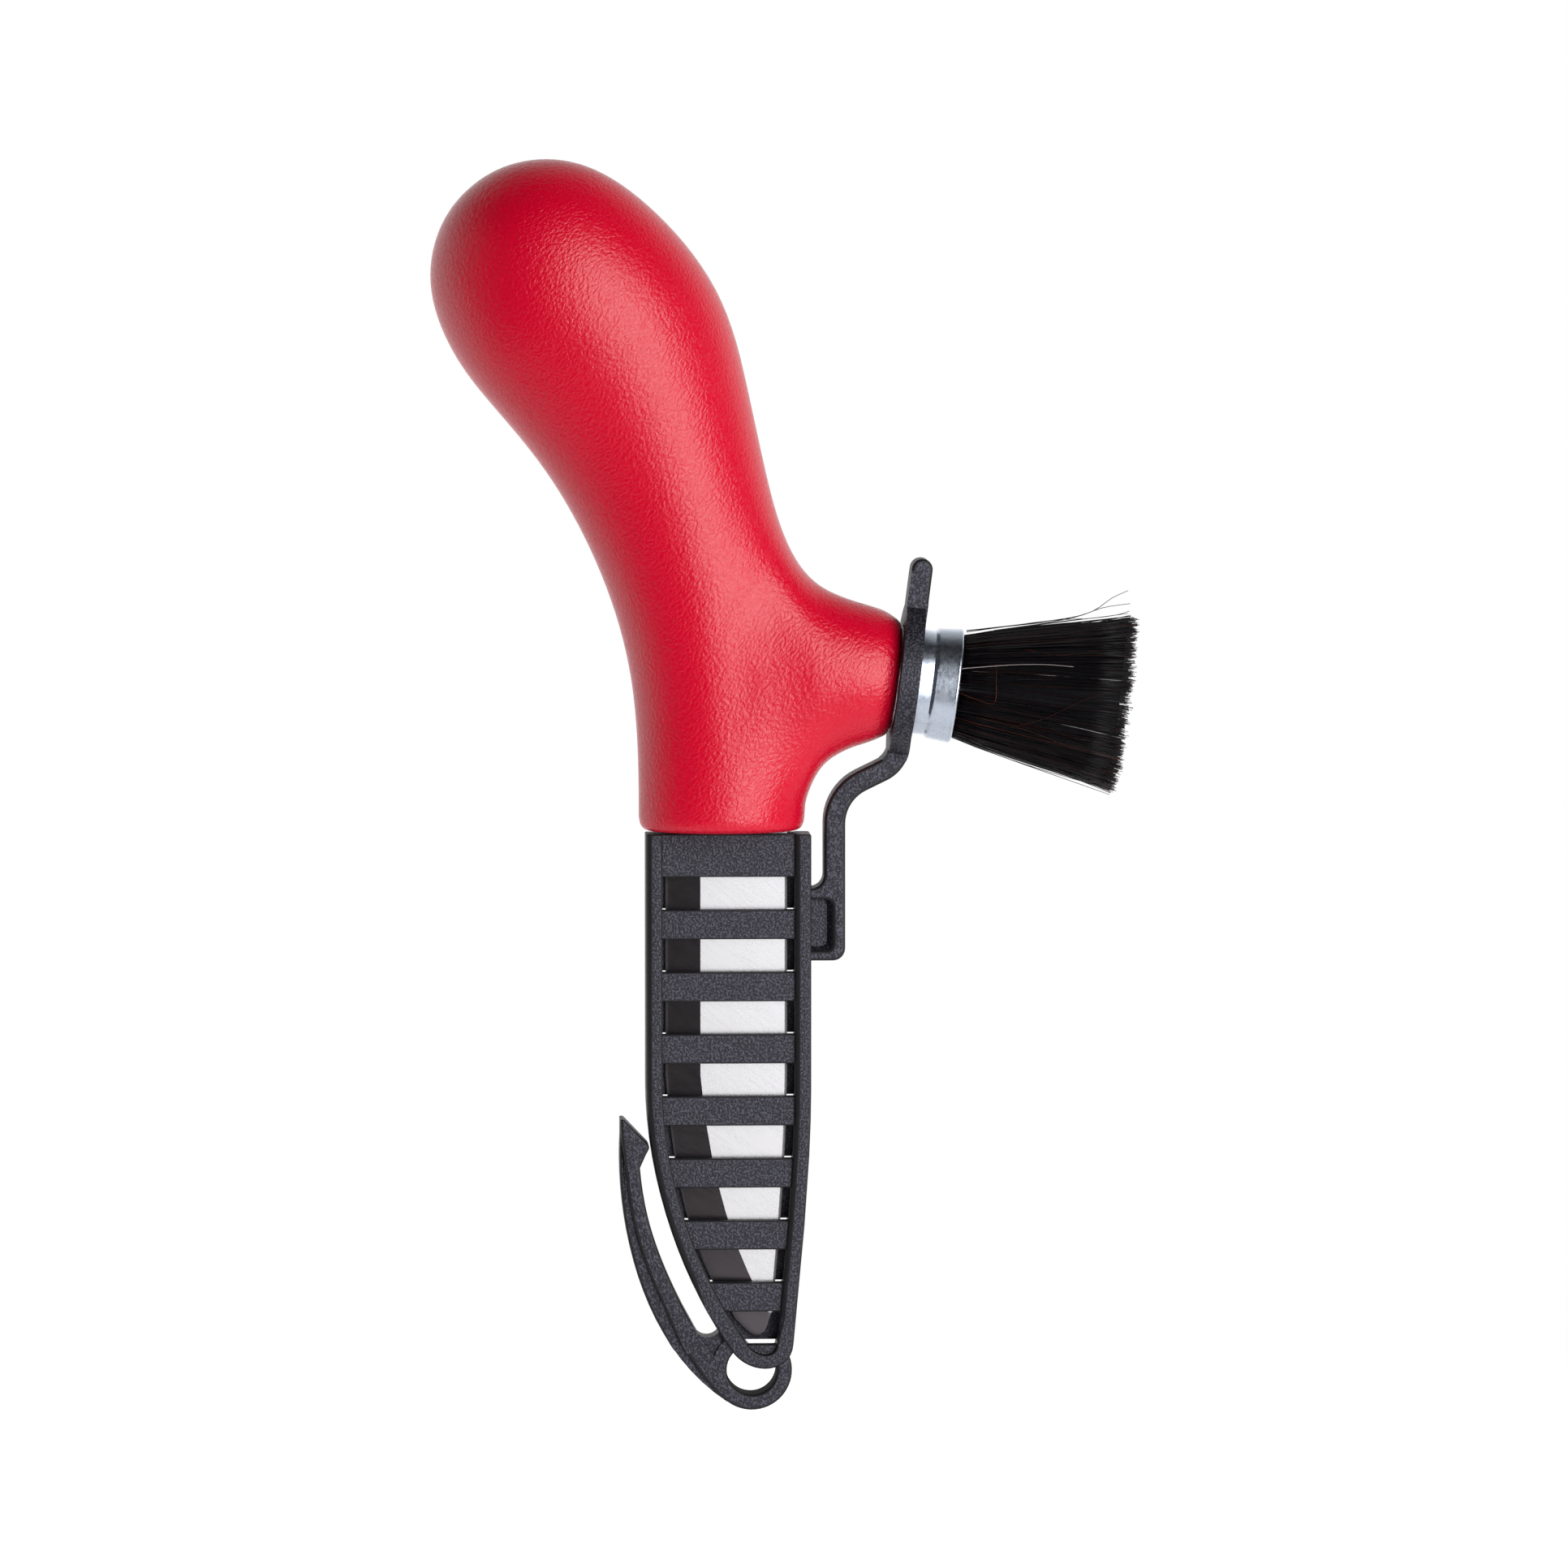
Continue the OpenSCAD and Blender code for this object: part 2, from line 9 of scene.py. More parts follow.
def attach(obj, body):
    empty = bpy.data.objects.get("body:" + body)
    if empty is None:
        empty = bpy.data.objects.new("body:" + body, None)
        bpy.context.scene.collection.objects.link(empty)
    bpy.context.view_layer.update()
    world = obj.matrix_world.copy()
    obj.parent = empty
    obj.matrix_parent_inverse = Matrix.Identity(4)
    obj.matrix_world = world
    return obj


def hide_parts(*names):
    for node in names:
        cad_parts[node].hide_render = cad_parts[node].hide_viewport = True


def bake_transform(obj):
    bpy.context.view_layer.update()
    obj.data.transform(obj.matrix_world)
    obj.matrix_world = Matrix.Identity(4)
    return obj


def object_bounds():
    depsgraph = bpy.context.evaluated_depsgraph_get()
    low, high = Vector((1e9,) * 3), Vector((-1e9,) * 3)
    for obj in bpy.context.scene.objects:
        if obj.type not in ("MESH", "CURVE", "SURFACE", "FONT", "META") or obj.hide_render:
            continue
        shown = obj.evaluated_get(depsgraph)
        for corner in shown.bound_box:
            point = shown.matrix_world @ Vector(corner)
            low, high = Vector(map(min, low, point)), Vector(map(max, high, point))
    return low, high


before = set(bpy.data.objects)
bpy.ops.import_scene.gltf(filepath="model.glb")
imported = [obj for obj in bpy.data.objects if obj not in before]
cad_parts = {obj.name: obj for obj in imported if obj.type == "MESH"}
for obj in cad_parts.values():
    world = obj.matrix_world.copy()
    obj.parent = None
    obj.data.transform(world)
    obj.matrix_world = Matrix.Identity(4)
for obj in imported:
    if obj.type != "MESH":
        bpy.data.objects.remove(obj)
cad_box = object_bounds()

MM = 0.001
STEP_ANGLE = math.radians(30)
LEVEL = 0.02 * MM  # points closer than this to a face are on it
TOUCH = 0.01 * MM
NO_LENGTH = 0.001 * MM
# Slot 1 is a smoother edge finish whose darker colour is painted shade.
# Slot 2 is painted shade for the walls of holes.
SHADED_EDGE, HOLE_SHADE = 1, 2


# ---- shader maths --------------------------------------------------------------------------

class Signal:
    """An output socket. Sums and products on it add Math nodes to its wiring."""

    def __init__(self, wiring, socket):
        self.wiring = wiring
        self.socket = socket

    def maths(self, operation, *values):
        return self.wiring.node("ShaderNodeMath", {"operation": operation}, dict(enumerate(values)))

    def __add__(self, other):
        return self.maths("ADD", self, other)

    __radd__ = __add__

    def __mul__(self, other):
        return self.maths("MULTIPLY", self, other)

    __rmul__ = __mul__

    def __sub__(self, other):
        return self.maths("SUBTRACT", self, other)

    def __rsub__(self, other):
        return self.maths("SUBTRACT", other, self)


class Wiring:
    """A node tree whose nodes all come from node()."""

    def __init__(self, tree):
        self.tree = tree

    def plug(self, socket, value):
        if isinstance(value, Signal):
            self.tree.links.new(value.socket, socket)
        elif isinstance(value, tuple) and len(value) == 3 and socket.type == "RGBA":
            socket.default_value = (*value, 1)
        else:
            socket.default_value = value

    def node(self, kind, settings=None, sockets=None, output=0):
        made = self.tree.nodes.new(kind)
        for key, value in (settings or {}).items():
            if key == "stops":
                self.set_stops(made.color_ramp, value)
            else:
                setattr(made, key, value)
        for key, value in (sockets or {}).items():
            self.plug(made.inputs[key], value)
        return Signal(self, made.outputs[output]) if made.outputs else None

    def set_stops(self, ramp, stops):
        while len(ramp.elements) < len(stops):
            ramp.elements.new(0.5)
        for element, (place, colour) in zip(ramp.elements, stops):
            element.position = place
            element.color = (*colour, 1)

    def between(self, share, low, high):
        """A colour from low to high as share goes from 0 to 1."""
        return self.node("ShaderNodeMix", {"data_type": "RGBA"}, {0: share, 6: low, 7: high}, output=2)

    def smooth(self, signal, start, end, low=0.0, high=1.0):
        """Low where the signal is at start, high at end and smooth between."""
        return self.node(
            "ShaderNodeMapRange",
            {"interpolation_type": "SMOOTHSTEP"},
            {"Value": signal, "From Min": start, "From Max": end, "To Min": low, "To Max": high},
        )


class Finish(Wiring):
    """A material with one Principled shader."""

    def __init__(self, name, **constants):
        self.material = bpy.data.materials.new(name)
        self.material.use_nodes = True
        super().__init__(self.material.node_tree)
        self.shader = self.tree.nodes["Principled BSDF"]
        for key, value in constants.items():
            self.set(key.replace("_", " ").title().replace("Ior", "IOR"), value)

    def set(self, name, value):
        self.plug(self.shader.inputs[name], value)

    def place(self, stretch=(1, 1, 1), turn=(0, 0, 0)):
        """Places on the object, turned and then drawn out by stretch along each axis."""
        here = self.node("ShaderNodeTexCoord", output="Object")
        return self.node(
            "ShaderNodeMapping",
            {"vector_type": "TEXTURE"},
            {"Vector": here, "Scale": stretch, "Rotation": turn},
        )

    def noise(self, size, detail=2, roughness=0.5, place=None):
        """Soft noise from 0 to 1 whose blots are about size across, in metres."""
        return self.node("ShaderNodeTexNoise", None, {
            "Vector": place or self.place(), "Scale": 0.5 / size, "Detail": detail, "Roughness": roughness,
        })

    def relief(self, height, depth):
        """Raises the surface by height, from 0 to 1, times depth, in metres."""
        bumps = {"Height": height, "Distance": depth, "Strength": 1.0}
        self.set("Normal", self.node("ShaderNodeBump", None, bumps))


# ---- making pieces -------------------------------------------------------------------------

def copied(node, join=NO_LENGTH):
    """The node's solid with its triangles joined into whole faces, points closer than join made one."""
    solid = bmesh.new()
    solid.from_mesh(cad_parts[node].data)
    bmesh.ops.remove_doubles(solid, verts=solid.verts, dist=join)
    bmesh.ops.dissolve_limit(solid, angle_limit=math.radians(1), verts=solid.verts, edges=solid.edges)
    return solid


def rounded(solid, size, segments, chosen):
    """Rounds the outer edges that chosen() picks, where sharper than STEP_ANGLE, with a smoother finish whose
    darker colour is painted shade.
    """
    edges = [
        e for e in solid.edges
        if e.is_manifold and e.is_convex and e.calc_face_angle(0) > STEP_ANGLE and chosen(e)
    ]
    made = bmesh.ops.bevel(
        solid, geom=edges, offset=size, offset_type="OFFSET", segments=segments, profile=0.5,
        affect="EDGES", clamp_overlap=False, material=-1,
    )
    for face in made["faces"]:
        face.material_index = SHADED_EDGE


def middle(edge):
    return (edge.verts[0].co + edge.verts[1].co) / 2


def at_height(edge, height):
    """True where an edge lies on one of the two flat faces at this distance from the middle plane."""
    return all(abs(abs(v.co.y) - height) < LEVEL for v in edge.verts)


def lofted(solid, sections):
    """Grows a closed ring from section to section, caps both ends and returns the rows of side faces."""
    points = [solid.verts.new(p) for p in sections[0]]
    ring = [solid.edges.new((points[k - 1], points[k])) for k in range(len(points))]
    bmesh.ops.edgeloop_fill(solid, edges=ring)
    rows = []
    for section in sections[1:]:
        grown = bmesh.ops.extrude_edge_only(solid, edges=ring)["geom"]
        fresh = [g for g in grown if isinstance(g, bmesh.types.BMVert)]
        points = [min(fresh, key=lambda v: (v.co - p.co).length) for p in points]
        for point, spot in zip(points, section):
            point.co = spot
        ring = [solid.edges.get((points[k - 1], points[k])) for k in range(len(points))]
        rows.append([edge.link_faces[0] for edge in ring])
    bmesh.ops.edgeloop_fill(solid, edges=ring)
    return rows


def spun(profile, steps):
    """Turns a closed profile, given as distance from the axis and place along it, about Z."""
    solid = bmesh.new()
    points = [solid.verts.new((r, 0, z)) for r, z in profile]
    ring = [solid.edges.new((points[k - 1], points[k])) for k in range(len(points))]
    bmesh.ops.spin(
        solid, geom=ring, cent=(0, 0, 0), axis=(0, 0, 1), angle=2 * math.pi, steps=steps, use_merge=True
    )
    return solid


def piece(solid, name, body, nodes, finishes, angle=STEP_ANGLE, weighted=True):
    """Makes the bmesh an object that rides on body and stands for the given CAD nodes."""
    mesh = bpy.data.meshes.new(name)
    bmesh.ops.recalc_face_normals(solid, faces=solid.faces)
    many_sided = [f for f in solid.faces if len(f.verts) > 4]
    bmesh.ops.triangulate(solid, faces=many_sided, quad_method="BEAUTY", ngon_method="BEAUTY")
    bmesh.ops.dissolve_degenerate(solid, dist=NO_LENGTH, edges=solid.edges)
    solid.to_mesh(mesh)
    solid.free()
    carried_normals = mesh.attributes.get("custom_normal")
    if carried_normals:
        mesh.attributes.remove(carried_normals)
    mesh.polygons.foreach_set("use_smooth", [True] * len(mesh.polygons))
    mesh.set_sharp_from_angle(angle=angle)
    obj = bpy.data.objects.new(name, mesh)
    bpy.context.scene.collection.objects.link(obj)
    for finish in finishes:
        mesh.materials.append(finish.material)
    if weighted:
        shading = obj.modifiers.new("even_shading", "WEIGHTED_NORMAL")
        shading.keep_sharp = True
    if body:
        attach(obj, body)
    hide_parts(*nodes)
    return obj


# ---- finishes ------------------------------------------------------------------------------

def red_plastic_finish():
    finish = Finish("red_grained_plastic", specular_ior_level=0.5)
    wrinkles = finish.noise(0.2 * MM, 2, 0.55, finish.place((1, 1, 1.5), (0, math.radians(40), 0)))
    pores = finish.noise(0.36 * MM, 1, 0.5)
    broad = finish.noise(9 * MM, 2)
    finish.set("Base Color", finish.between(broad, (0.66, 0.0, 0.022), (0.72, 0.0, 0.028)))
    finish.set("Roughness", 0.2 + 0.09 * wrinkles + 0.04 * broad)
    finish.relief(finish.smooth(wrinkles, 0.3, 0.7) * 0.7 + pores * 0.5, 0.07 * MM)
    return finish


def black_plastic_finish():
    finish = Finish("black_eroded_plastic", specular_ior_level=0.52, specular_tint=(0.86, 0.85, 1.0))
    grain = finish.noise(0.16 * MM, 1, 0.5)
    specks = finish.smooth(grain, 0.42, 0.7)
    finish.set("Base Color", finish.between(specks, (0.003, 0.0028, 0.0045), (0.06, 0.058, 0.076)))
    finish.set("Roughness", 0.54 - 0.12 * specks)
    finish.relief(grain, 0.09 * MM)
    return finish


def smooth_shaded_plastic_finish():
    # Smoother, less grained plastic for rounded edges; its darker colour is painted shade.
    finish = Finish("black_smooth_plastic_painted_shade", specular_ior_level=0.35)
    grain = finish.noise(0.2 * MM, 2, 0.5)
    finish.set("Base Color", finish.between(grain, (0.008, 0.0075, 0.009), (0.013, 0.0125, 0.015)))
    finish.set("Roughness", 0.42 + 0.1 * grain)
    finish.relief(grain, 0.01 * MM)
    return finish


def hole_shade_plastic_finish():
    """Near-black plastic for the walls of holes: painted shade, as they get little light."""
    finish = Finish("black_plastic_painted_hole_shade", specular_ior_level=0.08, roughness=0.75)
    grain = finish.noise(0.3 * MM, 2, 0.5)
    finish.set("Base Color", finish.between(grain, (0.003, 0.003, 0.004), (0.008, 0.0075, 0.01)))
    return finish


def steel_finish(name, colour, roughness, turn, depth=0.002):
    """Steel with grinding strokes turned by turn and depth mm deep."""
    finish = Finish(name, metallic=1.0)
    strokes = finish.noise(0.12 * MM, 3, 0.7, finish.place((1, 1, 28), (0, turn, 0)))
    clouds = finish.noise(5 * MM, 2)
    dark = tuple(0.92 * c for c in colour)
    streaks = finish.smooth(strokes, 0.3, 0.7) * 0.6 + clouds * 0.4
    finish.set("Base Color", finish.between(streaks, dark, colour))
    finish.set("Roughness", roughness + 0.12 * strokes - 0.04 * clouds)
    finish.relief(strokes, depth * MM)
    return finish


def aluminium_finish():
    finish = Finish("rolled_aluminium", metallic=1.0)
    mottle = finish.noise(0.35 * MM, 3, 0.6)
    rubs = finish.noise(0.12 * MM, 2, 0.6, finish.place((1, 8, 8)))
    finish.set("Base Color", finish.between(mottle, (0.56, 0.64, 0.8), (0.86, 0.92, 1.0)))
    finish.set("Roughness", 0.2 + 0.16 * mottle)
    finish.relief(mottle * 0.7 + rubs * 0.3, 0.022 * MM)
    return finish


def bristle_finish():
    finish = Finish("natural_bristle", roughness=0.36, specular_ior_level=0.32)
    tone = finish.node("ShaderNodeAttribute", {"attribute_name": "tone"}, output=2)
    finish.set("Base Color", finish.node("ShaderNodeValToRGB", {"stops": [
        (0.0, (0.003, 0.0025, 0.004)), (0.75, (0.006, 0.0045, 0.006)), (0.88, (0.02, 0.006, 0.005)),
        (0.95, (0.09, 0.02, 0.014)), (0.97, (0.28, 0.2, 0.18)), (1.0, (0.6, 0.56, 0.58))
    ]}, {"Fac": tone}))
    return finish


def resin_finish():
    finish = Finish("brush_resin", roughness=0.6)
    blots = finish.noise(2 * MM)
    finish.set("Base Color", finish.between(blots, (0.03, 0.018, 0.01), (0.06, 0.035, 0.02)))
    return finish


red_plastic = red_plastic_finish()
black_plastic = black_plastic_finish()
smooth_shaded_plastic = smooth_shaded_plastic_finish()
plastics = [black_plastic, smooth_shaded_plastic, hole_shade_plastic_finish()]
flat_steel = steel_finish("ground_flat", (0.67, 0.66, 0.68), 0.24, math.radians(-52), 0.0012)
# The bevel's dark base colour is a painted dark reflection; its grinding strokes and roughness are real.
dark_reflection_bevel_steel = steel_finish("ground_bevel_painted_dark_reflection", (0.15, 0.135, 0.145), 0.2, math.radians(-62))
edge_steel = steel_finish("whetted_edge", (0.5, 0.47, 0.48), 0.3, math.radians(-62))
aluminium = aluminium_finish()
bristle = bristle_finish()
resin = resin_finish()

# ---- sheath --------------------------------------------------------------------------------
# Distances of flat faces from the middle plane
RAIL_FACE = 3.5 * MM
SLAT_FACE = 2.6 * MM
CLIP_FACE = 3.1 * MM
CLIP_BAND = 2.4 * MM
BLOCK_FACE = 3.0 * MM
STRAP_FACE = 3.0 * MM
WEB_FACE, WEB_RAISED = 1.7 * MM, 2.4 * MM
# Sizes of the rounded edges
LEFT_RAIL_R, RIGHT_RAIL_R, RAIL_R, SLAT_R = 0.9 * MM, 0.8 * MM, 0.28 * MM, 0.22 * MM
BLOCK_R, CLIP_R, STRAP_R = 0.4 * MM, 0.35 * MM, 0.45 * MM
# Places on the sheath
SHEATH_MIDDLE = Vector((9, 0, 26)) * MM
MOUTH = 61.6 * MM
LEFT_RAIL_FOOT, RIGHT_RAIL_FOOT = -6 * MM, -9 * MM
LEFT_RAIL_WITHIN, RIGHT_RAIL_BEYOND = 8 * MM, 12 * MM
SLIVER = 0.1 * MM
STRAP_ROOT = Vector((24.55, 0, 55.5)) * MM
CLIP_ROOT = Vector((2.48, 0, -12.8)) * MM
CLIP_ROOT_R, CLIP_SEAT_R, CLIP_ROOT_REACH = 2.1 * MM, 2.152 * MM, 2.2 * MM
# The ridge beside the clip's band moves in by RIDGE_SHIFT, less and less towards its two ends
RIDGE_SHIFT = 0.65 * MM
RIDGE_TOP, RIDGE_FULL_TOP, RIDGE_FULL_FOOT, RIDGE_FOOT = 16.4 * MM, 12.5 * MM, -8 * MM, -13 * MM
# The eye at the sheath's foot, the lobe round it and where the web's notch ends
EYE, EYE_R, LOBE_R = Vector((12.4, 0, -17.25)) * MM, 3.7 * MM, 5.9 * MM
NOTCH_RIGHT, NOTCH_FOOT = 9 * MM, -15.4 * MM
# The pocket in the strap's block, then how far right and down its rim and its floor go
POCKET_LEFT, POCKET_RIGHT, POCKET_FOOT, POCKET_TOP = 21.1 * MM, 23.7 * MM, 45.2 * MM, 52 * MM
RIM_RIGHT, RIM_FOOT = 24.3 * MM, 44.4 * MM
FLOOR_RIGHT, FLOOR_FOOT, FLOOR_FACE = 23.5 * MM, 45 * MM, 1.3 * MM
POCKET_R = 0.9 * MM
# The brush's axis is this frame's Z, and the strap's ring reaches RING_CLEAR from it
BRUSH = Matrix.Translation(Vector((33.6, 0, 84.2)) * MM) @ Matrix.Rotation(math.radians(97.3), 4, "Y")
RING_CLEAR = 11.9 * MM


def faces_out(edge):
    """True on the outer side of the rails, whose walls look away from the sheath's middle."""
    wall = min(edge.link_faces, key=lambda f: abs(f.normal.y))
    away = middle(edge) - SHEATH_MIDDLE
    away.y = 0
    return wall.normal.dot(away) > 0


def left_rail(edge):
    spot = middle(edge)
    low_enough = LEFT_RAIL_FOOT < spot.z < MOUTH - SLIVER
    return at_height(edge, RAIL_FACE) and faces_out(edge) and spot.x < LEFT_RAIL_WITHIN and low_enough


def right_rail(edge):
    spot = middle(edge)
    on_inside = at_height(edge, RAIL_FACE) and not faces_out(edge)
    return on_inside and spot.x > RIGHT_RAIL_BEYOND and spot.z > RIGHT_RAIL_FOOT


def at_clip_root(edge):
    """True on the round seam between the clip and the sheath."""
    return all(math.hypot(v.co.x - CLIP_ROOT.x, v.co.z - CLIP_ROOT.z) < CLIP_ROOT_REACH for v in edge.verts)


def from_eye(spot):
    """Distance from the eye's axis."""
    return math.hypot(spot.x - EYE.x, spot.z - EYE.z)


def in_notch(edge):
    """True on the part of the lobe's round outline that stands over the web."""
    spot = middle(edge)
    return spot.x < NOTCH_RIGHT and spot.z > NOTCH_FOOT and abs(from_eye(spot) - LOBE_R) < SLIVER


def clip_edge(edge):
    """True on the clip's outline and the lobe's, apart from the seam and the notch."""
    return at_height(edge, CLIP_FACE) and not at_clip_root(edge) and not in_notch(edge)


def widen_band(solid):
    """Moves the ridge between the clip's band and its face inwards, by the edges that climb its wall."""
    for edge in solid.edges:
        low, high = sorted(abs(v.co.y) for v in edge.verts)
        if abs(low - CLIP_BAND) > LEVEL or abs(high - CLIP_FACE) > LEVEL:
            continue
        z = edge.verts[0].co.z
        from_top = (RIDGE_TOP - z) / (RIDGE_TOP - RIDGE_FULL_TOP)
        from_foot = (z - RIDGE_FOOT) / (RIDGE_FULL_FOOT - RIDGE_FOOT)
        for vertex in edge.verts:
            vertex.co.x += RIDGE_SHIFT * max(0, min(1, from_top, from_foot))


def paint_eye_wall_shade(solid):
    """Gives the wall of the eye near-black plastic: painted shade."""
    for face in solid.faces:
        if abs(face.normal.y) < 0.5 and all(from_eye(v.co) < EYE_R + SLIVER for v in face.verts):
            face.material_index = HOLE_SHADE


def raise_web(solid):
    for vertex in solid.verts:
        if abs(abs(vertex.co.y) - WEB_FACE) < LEVEL:
            vertex.co.y = math.copysign(WEB_RAISED, vertex.co.y)


def shape_pocket(solid):
    """Gives the pocket drafted walls, a floor that is less deep and two round corners."""
    right_side = []
    for vertex in solid.verts:
        x, y, z = vertex.co
        across = POCKET_LEFT - TOUCH < x < POCKET_RIGHT + TOUCH
        if not across or not POCKET_FOOT - TOUCH < z < POCKET_TOP + TOUCH:
            continue
        at_floor = abs(y) < MM
        if at_floor:
            vertex.co.y = math.copysign(FLOOR_FACE, y)
        if z < POCKET_FOOT + TOUCH:
            vertex.co.z = FLOOR_FOOT if at_floor else RIM_FOOT
        if x > POCKET_RIGHT - TOUCH:
            vertex.co.x = FLOOR_RIGHT if at_floor else RIM_RIGHT
            right_side.append(vertex)
    corners = [
        e for e in solid.edges
        if all(v in right_side for v in e.verts) and abs(e.verts[0].co.y - e.verts[1].co.y) > MM
    ]
    bmesh.ops.bevel(
        solid, geom=corners, offset=POCKET_R, offset_type="OFFSET", segments=5, profile=0.5,
        affect="EDGES", clamp_overlap=False, material=-1,
    )


def close_clip_seam(solid):
    for vertex in solid.verts:
        out = vertex.co - CLIP_ROOT
        out.y = 0
        if abs(out.length - CLIP_ROOT_R) < SLIVER / 4:
            vertex.co += out * (CLIP_SEAT_R / CLIP_ROOT_R - 1)


def clear_of_ring(edge):
    """True on the strap's long corners above its root that the ring doesn't touch."""
    off = abs((BRUSH.inverted() @ middle(edge)).x)
    return at_height(edge, STRAP_FACE) and off > RING_CLEAR and middle(edge).z > STRAP_ROOT.z + TOUCH


sheath = copied("sheath_body", SLIVER)
raise_web(sheath)
shape_pocket(sheath)
rounded(sheath, LEFT_RAIL_R, 5, left_rail)
rounded(sheath, RIGHT_RAIL_R, 5, right_rail)
rounded(sheath, RAIL_R, 3, lambda e: at_height(e, RAIL_FACE))
rounded(sheath, SLAT_R, 3, lambda e: at_height(e, SLAT_FACE))
rounded(sheath, BLOCK_R, 3, lambda e: at_height(e, BLOCK_FACE) and middle(e).z < STRAP_ROOT.z - TOUCH)
rounded(sheath, CLIP_R, 3, clip_edge)
# The eye's wall gets near-black plastic as painted shade.
paint_eye_wall_shade(sheath)
piece(sheath, "sheath", "sheath", ["sheath_body"], plastics)

clip = copied("belt_clip", SLIVER)
widen_band(clip)
close_clip_seam(clip)
rounded(clip, CLIP_R, 3, clip_edge)
rounded(clip, CLIP_R, 3, lambda e: at_height(e, CLIP_BAND) and not at_clip_root(e))
clip_piece = piece(clip, "clip", None, ["belt_clip"], plastics)
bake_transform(clip_piece)

strap = copied("retaining_strap", SLIVER)
for rim in (-RING_CLEAR, RING_CLEAR):
    bmesh.ops.bisect_plane(
        strap, geom=strap.verts[:] + strap.edges[:] + strap.faces[:],
        plane_co=BRUSH @ Vector((rim, 0, 0)), plane_no=BRUSH.col[0].xyz,
    )
rounded(strap, STRAP_R, 4, clear_of_ring)
strap_piece = piece(strap, "strap", None, ["retaining_strap"], plastics)
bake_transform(strap_piece)

# ---- handle --------------------------------------------------------------------------------
# Where the neck leaves the handle, how far that place spreads and by what share it swells
SADDLE = Vector((16.8, 0, 84)) * MM
SADDLE_X, SADDLE_Z = 4.5 * MM, 9 * MM
SADDLE_SWELL = 0.13
grip = copied("handle")
bmesh.ops.join_triangles(
    grip, faces=grip.faces, angle_face_threshold=math.radians(25), angle_shape_threshold=math.radians(60)
)
for vertex in grip.verts:
    across, up = (vertex.co.x - SADDLE.x) / SADDLE_X, (vertex.co.z - SADDLE.z) / SADDLE_Z
    vertex.co.y *= 1 + SADDLE_SWELL * math.exp(-(across ** 2 + up ** 2))
crease = grip.edges.layers.float.new("crease_edge")
for edge in grip.edges:
    edge[crease] = float(edge.calc_face_angle(0) > STEP_ANGLE)
grip_piece = piece(grip, "grip", "knife", ["handle"], [red_plastic], weighted=False)
smoother = grip_piece.modifiers.new("smoother", "SUBSURF")
smoother.levels = smoother.render_levels = 1

# ---- blade ---------------------------------------------------------------------------------
FOOT = 61.85 * MM
BLADE_STRAIGHT = 30 * MM
FLAT, BEVEL, EDGE = range(3)
EDGE_STRIP = 0.3 * MM
EDGE_HALF = 0.03 * MM
EDGE_RISE = 0.2  # share of the blade's half thickness that the edge strip climbs
SPINE_CUT = 0.35 * MM
TIP_TOP = -8.95 * MM
TIP_STRIP = 0.06 * MM
MOST = 0.4  # largest share of a face that a strip beside it takes
TANG_LOW, TANG_HIGH = Vector((4.75, -0.75, 61.85)) * MM, Vector((14.75, 0.75, 101)) * MM
SIDE_FINISH = [EDGE, EDGE, BEVEL, FLAT, EDGE, FLAT, EDGE, FLAT, BEVEL, EDGE]


def blade_sections():
    """Ten points round the blade, at the foot and then going down the curved part of the CAD blade."""
    rows = {}
    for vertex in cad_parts["blade"].data.vertices:
        if vertex.co.z < BLADE_STRAIGHT:
            rows.setdefault(round(vertex.co.z / MM, 2), []).append(vertex.co)
    sections = []
    for height, row in sorted(rows.items(), reverse=True):
        half = max(p.y for p in row)
        edge, spine = min(p.x for p in row), max(p.x for p in row)
        shoulder = min(p.x for p in row if p.y > half - NO_LENGTH)
        strip = min(EDGE_STRIP, MOST * (shoulder - edge))
        cut = min(SPINE_CUT, MOST * (spine - shoulder))
        if height * MM < TIP_TOP:
            strip = cut = TIP_STRIP
        side = [
            (edge, EDGE_HALF), (edge + strip, EDGE_HALF + EDGE_RISE * (half - EDGE_HALF)),
            (shoulder, half), (spine - cut, half), (spine, half - MOST * cut),
        ]
        front = [Vector((x, -y, height * MM)) for x, y in side]
        sections.append(front + [Vector((p.x, -p.y, p.z)) for p in reversed(front)])
    return [[Vector((p.x, p.y, FOOT)) for p in sections[0]]] + sections


steel = bmesh.new()
for row in lofted(steel, blade_sections()):
    for face, finish_index in zip(row, SIDE_FINISH):
        face.material_index = BEVEL if face.calc_center_median().z < TIP_TOP else finish_index
tang = Matrix.Translation((TANG_LOW + TANG_HIGH) / 2) @ Matrix.Diagonal((*(TANG_HIGH - TANG_LOW), 1))
bmesh.ops.create_cube(steel, size=1, matrix=tang)
piece(
    steel, "steel", "knife", ["blade"], [flat_steel, dark_reflection_bevel_steel, edge_steel],
    angle=math.radians(5), weighted=False,
)

# ---- brush ---------------------------------------------------------------------------------
# Radii and places along the brush's axis, in mm
FERRULE_R, RIM_R, FERRULE_END, WALL = 7.7, 8.4, 9.0, 0.4
CONE_AT, CONE_STEP, PLUG_AT = 1.5, 0.25, 5.4
BEAD = 0.35
CRIMP_FROM, CRIMP_AT, CRIMP_DEPTH, CRIMP_RISE = 2.2, 5.0, 0.42, 0.45
CRIMP_HALF = math.radians(46)
QUARTER = math.pi / 2


